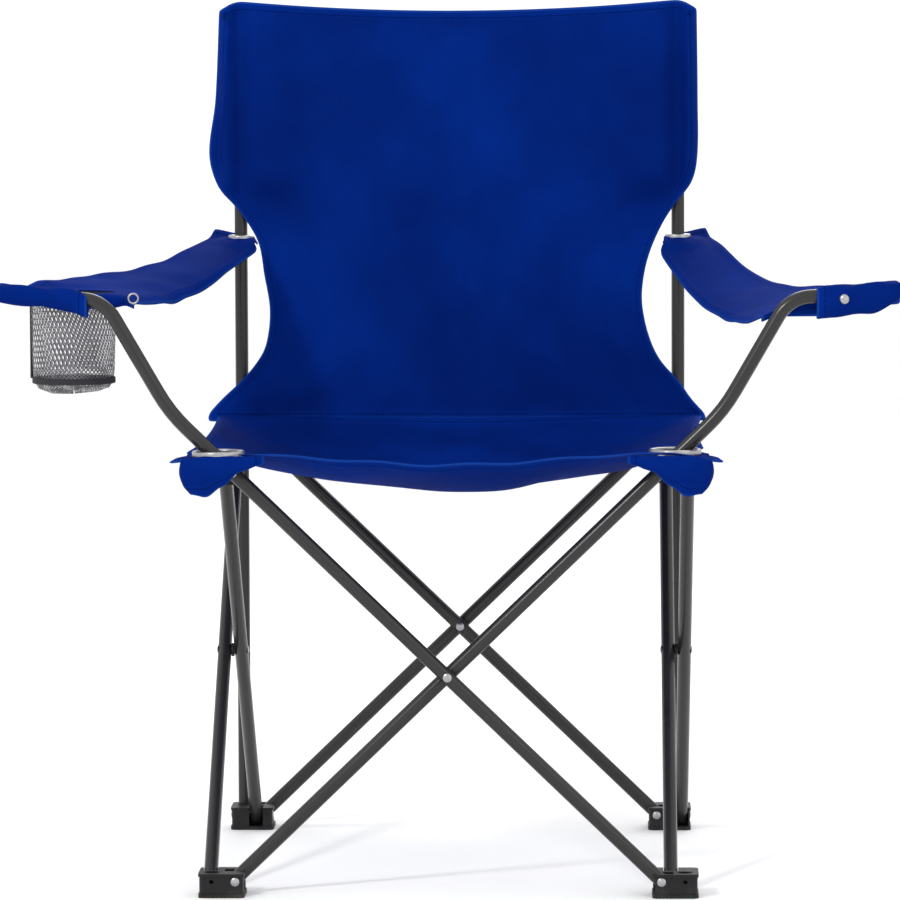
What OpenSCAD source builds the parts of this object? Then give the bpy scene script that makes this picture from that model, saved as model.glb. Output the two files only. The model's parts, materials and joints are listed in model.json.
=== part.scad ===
// Folding camp chair: eight crossed leg tubes, two back posts and a cloth sling.
// X runs across the chair, Y from front to back, Z up. The origin is on the ground,
// under the middle of the seat. Millimetres.

/* [Frame] */
// Distance between the two foot pins on each side of the open chair
pin_span = 395; // [325:1:480]
// Height of the foot pins above the ground
foot_pin_z = 15; // [14:0.5:20]
// Height of the upper pins, which carry the seat
top_pin_z = 395; // [325:1:480]
// Outside diameter of every steel tube
tube_d = 13; // [10.5:0.1:16]
// Wall of every steel tube
tube_wall = 1; // [0.8:0.1:1.5]
// Thickness of the washer between two crossed tubes
washer_t = 3; // [2:0.5:5]
// Length of tube past its end pin
tube_stub = 7; // [6:0.5:8]
// Height of the top of the back posts
post_top_z = 816; // [675:1:980]

/* [Pins] */
// Diameter of the pivot rivets
pin_d = 4; // [3:0.1:5]
// Radial clearance of a pin in a hole that turns on it
pin_clear = 0.1; // [0.05:0.05:0.3]
// Diameter of a rivet's head
head_d = 8; // [7:0.5:10]
// Thickness of a rivet's head
head_t = 1.2; // [0.8:0.1:2]

/* [Plastic parts] */
// Gap between a tube and the slot that it turns in, on each side
slot_clear = 0.5; // [0.3:0.1:0.8]
// Plastic outside the outer tube's slot
slot_wall = 2.5; // [2:0.5:4]
// Thickness of a foot's sole
sole_t = 3.5; // [2:0.5:4]
// Height of a foot
foot_h = 22.5; // [20:0.5:30]
// How far a foot's walls stand in from its sole and its rim
foot_inset = 1; // [0.5:0.25:1.5]
// Gap between a back post and the sleeve that slides on it
sleeve_clear = 0.5; // [0.3:0.1:0.8]
// Height of the joint blocks below their pins
block_below = 12; // [10:0.5:16]
// Plastic above the tube ends in the joint blocks
block_roof = 2.5; // [2:0.5:4]

/* [Arms] */
// From the upper pin to the arm's first bend
arm_low_run = 80; // [60:1:100]
// From the first bend to the second bend
arm_mid_run = 120; // [90:1:150]
// From the second bend to the tube's end
arm_end_run = 98; // [85:1:120]
// Angle of the first bend, which steepens the tube
arm_bend_up = 16; // [8:1:24]
// Angle of the second bend, which lays the tube outwards
arm_bend_out = 56; // [45:1:60]
// Radius of the first bend
arm_bend_up_r = 150; // [80:1:200]
// Radius of the second bend
arm_bend_out_r = 36; // [30:1:45]

/* [Cloth] */
// Thickness of the cloth with its seams
cloth_t = 3; // [2:0.5:4]
// Gap between the cloth and what it lies against
cloth_gap = 0.8; // [0.5:0.1:2]
// How far the seat's side hems stand outside the middle of the back posts
seat_overhang = 23.5; // [18:0.5:30]
// How far the middle of the seat hangs below its hems
seat_sag = 38; // [20:1:70]
// How far the front hem dips between its corners
front_dip = 8; // [0:1:15]
// How far the back's waist stands inside the middle of the back posts
waist_inset = 30.5; // [30:0.5:60]
// How far the back's edges stand outside the middle of the back posts
shoulder_overhang = 26.5; // [20:0.5:34]
// Height of the cloth above the posts
back_over_post = 6; // [4:1:12]
// Height of the pockets' lower ends above the arm straps
pocket_up = 68; // [62:1:80]
// Height of the arm straps' rear ends above the upper pins
strap_rear_up = 201; // [190:1:230]
// Width of an arm strap at the back post
strap_rear_w = 57; // [48:1:70]
// Width of an arm strap at the front
strap_front_w = 130; // [110:1:145]
// How far the middle of an arm strap hangs below a straight line
strap_sag = 22; // [5:1:30]
// Depth of the flap at the front of an arm strap
strap_flap = 34; // [25:1:45]

/* [Cup holder] */
// Inside diameter of the cup holder
cup_d = 76; // [65:1:85]
// Depth of the cup holder below the arm strap
cup_depth = 92; // [75:1:120]
// Thickness of the net
net_t = 1.6; // [1:0.1:2.5]

/* [Eyelets] */
// Gap between an arm tube and its eyelet in the seat's front corner, on each side
seat_eyelet_gap = 13.5; // [13:0.5:16]
// Gap between a back post and its eyelet in the arm strap, on each side
strap_eyelet_gap = 2; // [1.5:0.5:5]
// Width of an eyelet's ring
eyelet_w = 4.5; // [3:0.5:6]
// Thickness of an eyelet's ring
eyelet_t = 1.6; // [1:0.1:2.5]

/* [Hidden] */
$fn = 48;

steel = [0.19, 0.19, 0.20];
zinc = [0.72, 0.72, 0.74];
plastic = [0.10, 0.10, 0.11];
blue = [0.01, 0.10, 0.50];
netting = [0.35, 0.35, 0.38];

tube_r = tube_d / 2;
plane_gap = tube_d + washer_t;
pin_x = pin_span / 2;
plane_past_pin = 9;                     // from a side tube's pin out to the inner tubes
post_inset = 3;                         // the back posts stand just inside the outer tubes
slot_past_end = 1.5;                    // room past a tube's end in its slot
inner_plane = pin_x + plane_past_pin;   // middle of the inner tubes, from the chair's middle
outer_plane = inner_plane + plane_gap;  // middle of the outer tubes
post_at = outer_plane - post_inset;     // middle of the back posts, in X and in Y
rise = (top_pin_z - foot_pin_z) / 2;    // from a foot's pin up to the crossing
half_leg = sqrt(pin_x * pin_x + rise * rise);
leg_angle = atan2(rise, pin_x);         // elevation of every leg tube
cross_z = foot_pin_z + rise;
swing_r = sqrt(tube_stub * tube_stub + tube_r * tube_r);  // reach of a tube's end round its pin
slot_half = tube_r + slot_clear;
slot_end = pin_x + swing_r + slot_past_end;  // where the slots stop, past the pins
foot_out = outer_plane + slot_half + slot_wall;
foot_in = pin_x - 8.5;
short_pin_end = -pin_x - pin_d / 2 - 4.5;  // clear of the other pin of the same block
block_top = top_pin_z + swing_r + 1 + block_roof;

// The arm's path, as distances outwards from the upper pin and up from it
bend_up_at = arm_low_run * [cos(leg_angle), sin(leg_angle)];
mid_angle = leg_angle + arm_bend_up;
end_angle = mid_angle - arm_bend_out;
bend_out_at = bend_up_at + arm_mid_run * [cos(mid_angle), sin(mid_angle)];
arm_tip = bend_out_at + arm_end_run * [cos(end_angle), sin(end_angle)];
grip_x = pin_x + bend_out_at[0];        // where the arm's last run starts
tip_x = pin_x + arm_tip[0];
function grip_z(x) = top_pin_z + bend_out_at[1] + (x - grip_x) * tan(end_angle);

// Cloth
seat_z = block_top + cloth_gap + cloth_t / 2;
seat_half_w = post_at + seat_overhang;
seat_eyelet_d = tube_d + 2 * seat_eyelet_gap;
strap_eyelet_d = tube_d + 2 * strap_eyelet_gap;
seat_front = outer_plane + seat_eyelet_d / 2 + eyelet_w + 2;  // reach of the cloth, to front and back
seat_rear = post_at - tube_r - cloth_gap - cloth_t - 3;
back_y = post_at - tube_r - cloth_gap - cloth_t;
back_top = post_top_z + back_over_post;
back_waist = post_at - waist_inset;
back_shoulder = post_at + shoulder_overhang;
strap_rear_z = top_pin_z + strap_rear_up;
pocket_z = strap_rear_z + pocket_up;
strap_out = tip_x + 4;                  // outer edge of an arm strap at the front
strap_top = tube_r + cloth_gap + cloth_t / 2;
cup_x = strap_out - strap_front_w / 2 - 3;
pocket_back = -outer_plane + tube_r + cloth_gap + cloth_t;  // back of the left arm's pocket
cup_y = pocket_back + 1 + eyelet_w + cup_d / 2;

// ---------- frame ----------

module pin_y(y_from, y_to, d) {
    translate([0, y_from, 0]) rotate([-90, 0, 0]) cylinder(h = y_to - y_from, d = d);
}

// A rivet along Y with a domed head at each end
module rivet_y(y_from, y_to) {
    pin_y(y_from, y_to, pin_d);
    for (end = [[y_from, 1], [y_to, -1]])
        translate([0, end[0], 0]) rotate([90 * end[1], 0, 0])
            intersection() {
                cylinder(h = head_t, d = head_d);
                translate([0, 0, head_t - head_d]) sphere(r = head_d);
            }
}

module straight_tube(length) {
    difference() {
        cylinder(h = length, d = tube_d);
        translate([0, 0, -1]) cylinder(h = length + 2, d = tube_d - 2 * tube_wall);
    }
}

// A bent tube's path: [distance along its leg, distance outwards, heading]
function bend(start, radius, turn, count) = [for (i = [1:count])
    let (side = sign(turn), from = start[2], to = from + turn * i / count)
    [start[0] + side * radius * (sin(to) - sin(from)),
     start[1] - side * radius * (cos(to) - cos(from)), to]];
function ahead(start, run) =
    [start[0] + run * cos(start[2]), start[1] + run * sin(start[2]), start[2]];

// A round tube along such a path, hollow all the way
module swept_tube(path) {
    sides = 32;
    last = len(path) - 1;
    points = [for (r = [tube_r, tube_r - tube_wall]) for (p = path) for (k = [0:sides - 1])
        let (out = r * cos(360 * k / sides))
        [p[1] + out * cos(p[2]), r * sin(360 * k / sides), p[0] - out * sin(p[2])]];
    function id(wall, i, k) = (wall * (last + 1) + i) * sides + k % sides;
    polyhedron(points, concat(
        [for (i = [0:last - 1]) for (k = [0:sides - 1]) for (f = [
            [id(0, i, k), id(0, i + 1, k), id(0, i + 1, k + 1), id(0, i, k + 1)],
            [id(1, i, k), id(1, i, k + 1), id(1, i + 1, k + 1), id(1, i + 1, k)]]) f],
        [for (k = [0:sides - 1]) for (f = [
            [id(0, 0, k), id(0, 0, k + 1), id(1, 0, k + 1), id(1, 0, k)],
            [id(0, last, k), id(1, last, k), id(1, last, k + 1), id(0, last, k + 1)]]) f]));
}

up_tangent = arm_bend_up_r * tan(arm_bend_up / 2);
out_tangent = arm_bend_out_r * tan(arm_bend_out / 2);
tube_start = [-tube_stub, 0, 0];
bend_1 = ahead([2 * half_leg, 0, 0], arm_low_run - up_tangent);
path_1 = bend(bend_1, arm_bend_up_r, -arm_bend_up, 4);
bend_2 = ahead(path_1[3], arm_mid_run - up_tangent - out_tangent);
path_2 = bend(bend_2, arm_bend_out_r, arm_bend_out, 10);
arm_path = concat([tube_start, bend_1], path_1, [bend_2], path_2,
    [ahead(path_2[9], arm_end_run - out_tangent)]);

// A leg tube that rises from the foot at +X to the joint at -X, on the front side
module leg(plane, is_arm) {
    color(steel) translate([pin_x, -plane, foot_pin_z]) rotate([0, leg_angle - 90, 0])
        difference() {
            if (is_arm) mirror([1, 0, 0]) swept_tube(arm_path);
            else translate([0, 0, -tube_stub]) straight_tube(2 * half_leg + 2 * tube_stub);
            for (s = [0, half_leg, 2 * half_leg]) translate([0, 0, s])
                pin_y(-tube_d, tube_d, pin_d + 2 * pin_clear);
        }
}

module outer_leg(is_arm) leg(outer_plane, is_arm);
module inner_leg(is_arm) mirror([1, 0, 0]) leg(inner_plane, is_arm);

module cross_rivet() {
    color(zinc) translate([0, 0, cross_z])
        rivet_y(-outer_plane - tube_r, -inner_plane + tube_r);
}

module cross_washer() {
    color(plastic) translate([0, 0, cross_z]) difference() {
        pin_y(-outer_plane + tube_r + 0.1, -inner_plane - tube_r - 0.1, tube_d);
        pin_y(-outer_plane, -inner_plane, pin_d + 4 * pin_clear);
    }
}

// A corner block's outline, with its outer corner rounded, for the front right corner
module corner_plate(inset) {
    low = foot_in + inset;
    high = foot_out - inset;
    radius = 5;
    hull() for (x = [low, high], y = [-low, -high]) {
        in_x = x == low ? radius : -radius;
        in_y = y == -low ? -radius : radius;
        translate([x + in_x, y + in_y]) circle(r = radius);
    }
}

// The slots that two tube ends turn in, for the planes of the tubes along X and along Y
module tube_slots(along_x, along_y, z_from, z_to) {
    translate([0, -along_x - slot_half, z_from])
        cube([slot_end, 2 * slot_half, z_to - z_from]);
    translate([along_y - slot_half, -slot_end, z_from])
        cube([2 * slot_half, slot_end, z_to - z_from]);
}

// The pins of a foot or a joint at the front right corner, as a mould or as rivets
module corner_pins(along_x, along_y, z) {
    translate([pin_x, 0, z]) children(0);
    translate([0, -pin_x, z]) rotate([0, 0, 90]) children(1);
}

module foot() {
    color(plastic) difference() {
        union() {
            linear_extrude(sole_t) corner_plate(0);
            linear_extrude(foot_h) corner_plate(foot_inset);
            translate([0, 0, foot_h - 3]) linear_extrude(3) corner_plate(0);
        }
        tube_slots(outer_plane, inner_plane, sole_t, foot_h + 1);
        translate([post_at, -post_at, sole_t]) cylinder(h = foot_h, r = tube_r + 0.2);
        corner_pins(outer_plane, inner_plane, foot_pin_z) {
            pin_y(-foot_out - 1, short_pin_end, pin_d + 0.1);
            pin_y(-foot_out - 1, -foot_in + 1, pin_d + 0.1);
        }
        translate([post_at, 0, foot_pin_z]) pin_y(-foot_out - 1, -post_at, pin_d + 0.1);
        translate([0, -post_at, foot_pin_z]) rotate([0, 0, 90])
            pin_y(-foot_out - 1, -post_at, pin_d + 0.1);
    }
}

module foot_rivets() {
    color(zinc) corner_pins(outer_plane, inner_plane, foot_pin_z) {
        rivet_one_head(-foot_out + foot_inset, short_pin_end);
        rivet_y(-foot_out + foot_inset, -foot_in - foot_inset);
    }
}

// A rivet along Y whose far end is set in the plastic
module rivet_one_head(y_from, y_to) {
    difference() {
        rivet_y(y_from, y_to);
        translate([-head_d, y_to, -head_d]) cube(2 * head_d);
    }
}

module joint_block(x_to, y_from, y_to) {
    intersection() {
        translate([0, 0, top_pin_z - block_below])
            linear_extrude(block_top - top_pin_z + block_below) corner_plate(0);
        translate([foot_in - 1, y_from, 0])
            cube([x_to - foot_in + 1, y_to - y_from, block_top + 1]);
    }
}

roof_z = block_top - block_roof;

// The front left joint as it stands at the front right: the tube along Y runs past it
module joint_past_outer() {
    color(plastic) difference() {
        joint_block(outer_plane - slot_half, -inner_plane - slot_half - 3, 0);
        translate([0, -inner_plane - slot_half, 0])
            cube([slot_end, 2 * slot_half, roof_z]);
        corner_pins(inner_plane, outer_plane, top_pin_z) {
            pin_y(-foot_out, -foot_in - 2, pin_d + 0.1);
            pin_y(-foot_out, short_pin_end, pin_d + 0.1);
        }
    }
}

// The front right joint: the tube along X runs past it and becomes the arm
module joint_past_inner() {
    color(plastic) difference() {
        joint_block(foot_out, -inner_plane + slot_half, 0);
        translate([outer_plane - slot_half, -slot_end, 0])
            cube([2 * slot_half, slot_end, roof_z]);
        corner_pins(inner_plane, outer_plane, top_pin_z) {
            pin_y(-foot_out, -foot_in - 2, pin_d + 0.1);
            pin_y(-foot_out, short_pin_end, pin_d + 0.1);
        }
    }
}

// A rear sleeve as it stands at the front right
module sleeve() {
    color(plastic) difference() {
        joint_block(foot_out, -foot_out, 0);
        tube_slots(inner_plane, outer_plane, 0, roof_z);
        translate([post_at, -post_at, 0]) cylinder(h = block_top + 1, r = tube_r + sleeve_clear);
        corner_pins(inner_plane, outer_plane, top_pin_z) {
            pin_y(-foot_out - 1, -foot_in - 2, pin_d + 0.1);
            pin_y(-foot_out - 1, short_pin_end, pin_d + 0.1);
        }
    }
}

// The rivets of an upper joint. Each first number is where the head sits
module joint_rivets(x_tube_head, y_tube_head) {
    color(zinc) corner_pins(inner_plane, outer_plane, top_pin_z) {
        rivet_one_head(-x_tube_head, -foot_in - 2);
        rivet_one_head(-y_tube_head, short_pin_end);
    }
}

module post() {
    color(steel) translate([post_at, post_at, sole_t + 0.5]) difference() {
        cylinder(h = post_top_z - sole_t - 0.5, d = tube_d);
        translate([0, 0, -1]) cylinder(h = post_top_z, d = tube_d - 2 * tube_wall);
        translate([0, 0, foot_pin_z - sole_t - 0.5]) pin_y(0, tube_d, pin_d + 0.2);
    }
}

module post_cap() {
    color(plastic) translate([post_at, post_at, post_top_z]) {
        translate([0, 0, -12]) cylinder(h = 12, d = tube_d - 2 * tube_wall - 0.2);
        cylinder(h = 2, d = tube_d);
    }
}

module post_screw() {
    color(zinc) translate([post_at, 0, foot_pin_z])
        mirror([0, 1, 0]) rivet_one_head(-foot_out + foot_inset, -post_at - 1);
}

// The plug in the end of the arm tube, on the left of the chair
module arm_plug() {
    color(plastic) translate([-tip_x, -outer_plane, top_pin_z + arm_tip[1]])
        rotate([0, -90 + end_angle, 0]) {
            translate([0, 0, -10]) cylinder(h = 10, d = tube_d - 2 * tube_wall - 0.2);
            cylinder(h = 2, d = tube_d);
        }
}

// ---------- cloth ----------

function smooth(t) = let (c = max(0, min(1, t))) c * c * (3 - 2 * c);
function mix(a, b, t) = a + (b - a) * t;

// A closed sheet over a grid of points. at gives the middle of the cloth for u and v
// from 0 to 1, and half is half the thickness, as a vector
module cloth(at, nu, nv, half) {
    points = [for (side = [-1, 1]) for (i = [0:nu]) for (j = [0:nv])
        at(i / nu, j / nv) + side * half];
    lower = (nu + 1) * (nv + 1);
    function id(side, i, j) = side * lower + i * (nv + 1) + j;
    polyhedron(points, concat(
        [for (i = [0:nu - 1]) for (j = [0:nv - 1]) for (f = [
            [id(0, i, j), id(0, i + 1, j), id(0, i + 1, j + 1)],
            [id(0, i, j), id(0, i + 1, j + 1), id(0, i, j + 1)],
            [id(1, i, j), id(1, i + 1, j + 1), id(1, i + 1, j)],
            [id(1, i, j), id(1, i, j + 1), id(1, i + 1, j + 1)]]) f],
        [for (i = [0:nu - 1]) for (f = [
            [id(0, i, 0), id(1, i, 0), id(1, i + 1, 0)],
            [id(0, i, 0), id(1, i + 1, 0), id(0, i + 1, 0)],
            [id(0, i, nv), id(1, i + 1, nv), id(1, i, nv)],
            [id(0, i, nv), id(0, i + 1, nv), id(1, i + 1, nv)]]) f],
        [for (j = [0:nv - 1]) for (f = [
            [id(0, 0, j), id(1, 0, j + 1), id(1, 0, j)],
            [id(0, 0, j), id(0, 0, j + 1), id(1, 0, j + 1)],
            [id(0, nu, j), id(1, nu, j), id(1, nu, j + 1)],
            [id(0, nu, j), id(1, nu, j + 1), id(0, nu, j + 1)]]) f]));
}

// Shares of the seat's sag: between its side hems, and between all four. The corners are flat
function hang(s) = smooth(1 - abs(s) / 0.75);
function sling(s, t) = smooth(((1 - s * s) * (1 - t * t) - 0.2) / 0.8);

// The seat's middle surface: nearly level hems, and a sling between them
function seat_at(u, v) =
    let (s = 2 * u - 1, t = 2 * v - 1,
         dip = mix(front_dip, 0, v) * hang(s),
         lift = mix(0, 12, v) * (1 - hang(s)),
         ear = 12 * smooth((abs(s) - 0.8) / 0.2) * (1 - smooth(v / 0.25)))
    [s * seat_half_w + sign(s) * ear,
     mix(-seat_front, seat_rear, v),
     seat_z - dip + lift - seat_sag * sling(s, t)];

// The seat's eyelets leave room for the arm tubes to swing upright
eyelet_side = pin_x + 13;

module seat() {
    color(blue) difference() {
        cloth(function(u, v) seat_at(u, v), 16, 16, [0, 0, cloth_t / 2]);
        for (side = [[-1, outer_plane], [1, inner_plane]])
            translate([side[0] * eyelet_side, -side[1], seat_z - 20])
                cylinder(h = 60, d = seat_eyelet_d);
    }
}

// Half the back's width at a height, from the hips over the waist to the shoulders
function back_half(z) =
    let (hip = seat_half_w - back_waist,
         shoulder = back_shoulder - back_waist)
    back_waist
    + hip * (1 - smooth((z - seat_z) / 95))
    + shoulder * smooth((z - strap_rear_z - 8) / 60);

back_low = seat_z + 6;

module back() {
    outline = [for (i = [0:30]) let (z = mix(back_low, back_top, i / 30)) [back_half(z), z]];
    color(blue) {
        translate([0, back_y + cloth_t, 0]) rotate([90, 0, 0]) linear_extrude(cloth_t)
            polygon(concat(outline, [for (i = [30:-1:0]) [-outline[i][0], outline[i][1]]]));
        for (side = [0, 1]) mirror([side, 0, 0]) post_pocket();
    }
}

// The loop of cloth round a back post, closed at its top
module post_pocket() {
    inner = post_at - 19;
    outer = back_shoulder - 1;
    deep = back_y + cloth_t - 0.5;
    depth = tube_d + 2 * cloth_gap + cloth_t + 0.5;
    difference() {
        translate([inner, deep, pocket_z]) cube([outer - inner, depth, back_top - pocket_z]);
        translate([inner + cloth_t, deep - 1, pocket_z - 1])
            cube([outer - inner - 2 * cloth_t, depth - cloth_t + 1, back_top - pocket_z - cloth_t + 1]);
    }
}

// The reinforced corner that hangs in front of a front joint
module seat_corner() {
    top = seat_z - cloth_t / 2 - 3;
    color(blue) translate([0, -seat_front + 6, 0]) rotate([90, 0, 0]) linear_extrude(cloth_t)
        hull() {
            translate([outer_plane + 7, top - 34]) circle(r = 8);
            translate([outer_plane + 16, top - 8]) circle(r = 5);
            translate([pin_x - 24, top - 4]) circle(r = 3);
        }
}

// An arm strap on the left: flat at the post, sagging, then over the arm tube
function strap_at(u, v) =
    let (inner_x = mix(post_at - strap_rear_w / 2, strap_out - strap_front_w, smooth(u)),
         outer_x = mix(post_at + strap_rear_w / 2, strap_out, smooth(u)),
         x = mix(inner_x, outer_x, v),
         free = smooth((u - 0.12) / 0.2) * (1 - smooth((u - 0.55) / 0.2)),
         end_z = mix(strap_rear_z, grip_z(max(x, grip_x)) + strap_top, smooth((u - 0.1) / 0.75)))
    [-x, mix(seat_front, -outer_plane - tube_r - 3, u),
     end_z - free * strap_sag * (1.6 - 1.2 * v)];

module arm_strap(hole) {
    color(blue) difference() {
        cloth(function(u, v) strap_at(u, v), 30, 8, [0, 0, cloth_t / 2]);
        translate([-post_at, post_at, strap_rear_z - 20]) cylinder(h = 40, d = strap_eyelet_d);
        if (hole) translate([-cup_x, cup_y, cup_z - 30]) cylinder(h = 60, d = cup_d);
    }
}

// The flap and the sleeve under the front of an arm strap, on the left.
// It is open where the arm tube comes in from below
module arm_pocket(plane) {
    low = grip_z(strap_out) - strap_flap + 4;
    high = grip_z(grip_x) + strap_top - cloth_t;
    mouth = grip_x + 22;
    near = -outer_plane - tube_r - cloth_gap;
    far = -plane + tube_r + cloth_gap;
    color(blue) {
        translate([-strap_out, near - cloth_t, low])
            cube([strap_out - mouth, cloth_t, high - low]);
        translate([-strap_out, near - cloth_t, low])
            cube([strap_out - mouth, far + cloth_t - near + cloth_t, cloth_t]);
        translate([-strap_out, far, low])
            cube([strap_front_w, cloth_t, high - low]);
    }
}

// ---------- cup holder and eyelets ----------

cup_z = grip_z(grip_x) + strap_top - cloth_t / 2 - 0.8;  // top of the cup holder's rim

module cup_holder_net() {
    floor_r = cup_d / 2 - 5;
    top = cup_depth - eyelet_t - 0.3;
    color(netting) translate([-cup_x, cup_y, cup_z - cup_depth]) rotate_extrude() polygon([
        [0, 0], [floor_r, 0], [cup_d / 2 + net_t, 10], [cup_d / 2 + net_t, top],
        [cup_d / 2, top], [cup_d / 2, 10], [floor_r - net_t, 2 * net_t], [0, 2 * net_t]]);
}

module ring(d, w, t) {
    rotate_extrude() translate([d / 2, 0]) square([w, t]);
}

module cup_holder_rim() {
    color(plastic) translate([-cup_x, cup_y, cup_z - eyelet_t]) ring(cup_d, eyelet_w, eyelet_t);
}

module seat_eyelet(plane) {
    color(zinc) translate([eyelet_side, -plane, seat_z + cloth_t / 2 + 2])
        ring(seat_eyelet_d, eyelet_w, eyelet_t);
}

module strap_eyelet() {
    color(zinc) translate([post_at, post_at, strap_rear_z + cloth_t / 2 + 0.3])
        ring(strap_eyelet_d, eyelet_w, eyelet_t);
}

// ---------- assembly ----------

module left() mirror([1, 0, 0]) children();

foot();  // foot_front_right
rotate(90) foot();  // foot_rear_right
rotate(180) foot();  // foot_rear_left
rotate(270) foot();  // foot_front_left
foot_rivets();  // foot_rivets_front_right
rotate(90) foot_rivets();  // foot_rivets_rear_right
rotate(180) foot_rivets();  // foot_rivets_rear_left
rotate(270) foot_rivets();  // foot_rivets_front_left

outer_leg(true);  // front_outer_tube
inner_leg(true);  // front_inner_tube
rotate(90) outer_leg(false);  // right_outer_tube
rotate(90) inner_leg(false);  // right_inner_tube
rotate(180) outer_leg(false);  // rear_outer_tube
rotate(180) inner_leg(false);  // rear_inner_tube
rotate(270) outer_leg(false);  // left_outer_tube
rotate(270) inner_leg(false);  // left_inner_tube

cross_rivet();  // front_cross_rivet
rotate(90) cross_rivet();  // right_cross_rivet
rotate(180) cross_rivet();  // rear_cross_rivet
rotate(270) cross_rivet();  // left_cross_rivet
cross_washer();  // front_cross_washer
rotate(90) cross_washer();  // right_cross_washer
rotate(180) cross_washer();  // rear_cross_washer
rotate(270) cross_washer();  // left_cross_washer

rotate(270) joint_past_outer();  // front_left_joint
joint_past_inner();  // front_right_joint
rotate(90) sleeve();  // rear_right_sleeve
rotate(180) sleeve();  // rear_left_sleeve
rotate(270) joint_rivets(inner_plane + slot_half + 3, outer_plane + tube_r);  // joint_rivets_front_left
joint_rivets(inner_plane + tube_r, foot_out);  // joint_rivets_front_right
rotate(90) joint_rivets(foot_out, foot_out);  // joint_rivets_rear_right
rotate(180) joint_rivets(foot_out, foot_out);  // joint_rivets_rear_left

post();  // right_post
left() post();  // left_post
post_cap();  // right_post_cap
left() post_cap();  // left_post_cap
post_screw();  // right_post_screw
left() post_screw();  // left_post_screw
arm_plug();  // left_arm_plug
left() translate([0, plane_gap, 0]) arm_plug();  // right_arm_plug

seat();
back();
seat_corner();  // seat_corner_right
left() seat_corner();  // seat_corner_left
arm_strap(true);  // left_arm_strap
mirror([1, 0, 0]) arm_strap(false);  // right_arm_strap
arm_pocket(outer_plane);  // left_arm_pocket
mirror([1, 0, 0]) arm_pocket(inner_plane);  // right_arm_pocket
cup_holder_net();
cup_holder_rim();
seat_eyelet(inner_plane);  // seat_eyelet_right
left() seat_eyelet(outer_plane);  // seat_eyelet_left
strap_eyelet();  // strap_eyelet_right
left() strap_eyelet();  // strap_eyelet_left
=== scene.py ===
# %% [markdown]
# # A folding camp chair
# The frame of this chair comes from its CAD model: tubes, feet, joints and rivets already
# have their true sizes and places. This lesson dresses it. The steel gets its paint, the
# plastic its grain, and the cloth parts, which the CAD model only blocks out, are sewn
# here as thin sheets with hems and stitches.

# %% Load the frame
import json
import math

import bmesh
import bpy
from mathutils import Matrix, Vector, noise

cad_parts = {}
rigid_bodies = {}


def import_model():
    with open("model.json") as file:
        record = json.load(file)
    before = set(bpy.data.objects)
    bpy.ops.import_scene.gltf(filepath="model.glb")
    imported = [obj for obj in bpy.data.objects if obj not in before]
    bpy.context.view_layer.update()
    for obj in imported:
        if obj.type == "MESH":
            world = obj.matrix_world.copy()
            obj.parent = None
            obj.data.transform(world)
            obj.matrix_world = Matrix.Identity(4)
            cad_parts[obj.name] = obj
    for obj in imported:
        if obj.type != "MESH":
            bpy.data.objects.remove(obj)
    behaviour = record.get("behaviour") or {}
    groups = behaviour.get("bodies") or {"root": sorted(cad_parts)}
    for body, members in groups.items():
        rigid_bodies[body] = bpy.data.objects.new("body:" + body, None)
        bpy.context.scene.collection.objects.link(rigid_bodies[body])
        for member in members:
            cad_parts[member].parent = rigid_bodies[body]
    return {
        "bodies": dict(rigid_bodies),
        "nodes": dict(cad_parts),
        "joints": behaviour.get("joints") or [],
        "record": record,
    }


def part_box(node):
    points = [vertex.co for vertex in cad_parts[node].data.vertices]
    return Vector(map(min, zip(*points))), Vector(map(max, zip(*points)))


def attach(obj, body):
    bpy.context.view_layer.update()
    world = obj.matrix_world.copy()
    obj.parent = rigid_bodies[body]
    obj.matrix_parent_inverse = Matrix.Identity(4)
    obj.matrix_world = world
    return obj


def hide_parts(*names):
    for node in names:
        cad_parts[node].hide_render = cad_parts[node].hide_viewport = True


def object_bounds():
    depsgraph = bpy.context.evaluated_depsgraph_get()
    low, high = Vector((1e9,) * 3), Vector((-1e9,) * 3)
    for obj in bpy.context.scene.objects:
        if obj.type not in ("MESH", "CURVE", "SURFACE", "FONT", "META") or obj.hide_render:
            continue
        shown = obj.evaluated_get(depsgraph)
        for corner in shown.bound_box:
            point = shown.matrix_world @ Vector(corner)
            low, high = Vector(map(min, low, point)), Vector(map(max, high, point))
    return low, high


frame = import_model()
cad_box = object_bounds()
body_of_node = {n: b for b, nodes in frame["record"]["behaviour"]["bodies"].items() for n in nodes}
slot_of_node = {s["node"]: s["material_slot"] for s in frame["record"]["subparts"]}
pivot = {j["name"]: Vector(j["pos_m"]) for j in frame["joints"] if "pos_m" in j}

# %% [markdown]
# ## Sizes to hang the cloth on
# Every cloth piece is placed from the frame, so its fixed points are read off the CAD
# nodes: the posts, the tubes, the upper joints and the ends of the arms. Lengths are in
# metres, the front is at -y and the left at -x. Every hem is a centimetre wide, with a
# row of stitches just inside its fold.

# %% Sizes from the frame
post_low, post_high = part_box("right_post")
tube_r = (post_high.x - post_low.x) / 2
post_x = (post_high.x + post_low.x) / 2
post_y = (post_high.y + post_low.y) / 2
cap_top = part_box("right_post_cap")[1].z
joint_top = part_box("rear_left_sleeve")[1].z
seat_low, seat_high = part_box("seat")
strap_eyelet_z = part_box("strap_eyelet_left")[0].z
arm_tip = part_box("left_arm_plug")
arm_end_x = -arm_tip[0].x
arm_end_z = (arm_tip[0].z + arm_tip[1].z) / 2
arm_plane = {-1: pivot["left_arm_pivot"].y, 1: pivot["front_right_joint_pivot"].y}
hem = 0.010
stitch_row = hem * 0.8
stitch_length = 0.0032
sides = ((-1, "left"), (1, "right"))
print("posts at", round(post_x, 4), "arm ends at", round(arm_end_x, 4), round(arm_end_z, 4))

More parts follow.
